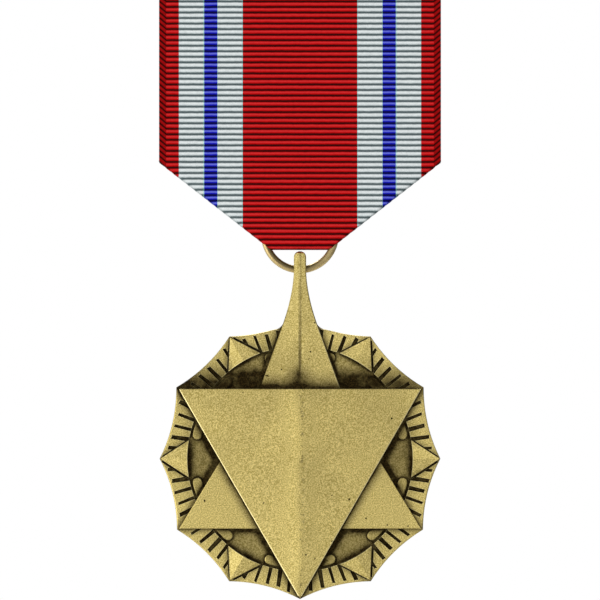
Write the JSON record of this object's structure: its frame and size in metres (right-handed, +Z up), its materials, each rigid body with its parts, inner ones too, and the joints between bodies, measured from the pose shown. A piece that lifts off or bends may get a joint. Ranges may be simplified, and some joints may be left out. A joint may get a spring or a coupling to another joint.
{
  "type": "service medal",
  "caption": "Struck star-shaped pendant with a spike and eye, hung by a ring from a folded striped ribbon with a pin brooch behind.",
  "frame": {"origin": "middle of the garment pin, on its axis, with the pin closed", "axes": "+X along the pin from hinge to catch, +Y out of the medal's back, +Z up with the pendant hanging below"},
  "size_m": [0.0348, 0.0061, 0.0825],
  "materials": {
    "ribbon_weave": "ribbed woven rayon in red, white and blue stripes",
    "stitch_thread": "twisted sewing thread",
    "gilt_bronze": "matte sandblasted gilt bronze, darkened in the hollows",
    "ring_wire": "drawn gilt wire, slightly tarnished",
    "brooch_brass": "stamped brass, satin with handling scratches",
    "pin_wire": "drawn and polished pin wire"
  },
  "bodies": {
    "brooch": {"ribbon": "ribbon_weave", "core_bar": "brooch_brass", "pin_plate": "brooch_brass", "hinge_lug": "brooch_brass", "hinge_rivet": "brooch_brass", "catch_body": "brooch_brass", "ribbon_stitches": "stitch_thread"},
    "pin": {"pin_stem": "pin_wire"},
    "lock": {"catch_lock": "brooch_brass"},
    "ring": {"suspension_ring": "ring_wire"},
    "medal": {"pendant": "gilt_bronze"}
  },
  "joints": [
    {"name": "pin_hinge", "type": "hinge", "parent": "brooch", "child": "pin", "pos_m": [-0.0124, 0, 0], "axis": [0, 0, 1], "range_deg": [0, 110]},
    {"name": "lock_turn", "type": "hinge", "parent": "brooch", "child": "lock", "pos_m": [0.0114, 0, 0], "axis": [1, 0, 0], "range_deg": [0, 75]},
    {"name": "ring_turn", "type": "hinge", "parent": "brooch", "child": "ring", "pos_m": [0, -0.00313, -0.03275], "axis": [0, 1, 0], "range_deg": [-18, 18]},
    {"name": "pendant_swing", "type": "hinge", "parent": "ring", "child": "medal", "pos_m": [0, -0.00313, -0.03713], "axis": [1, 0, 0], "range_deg": [-110, 110]}
  ]
}
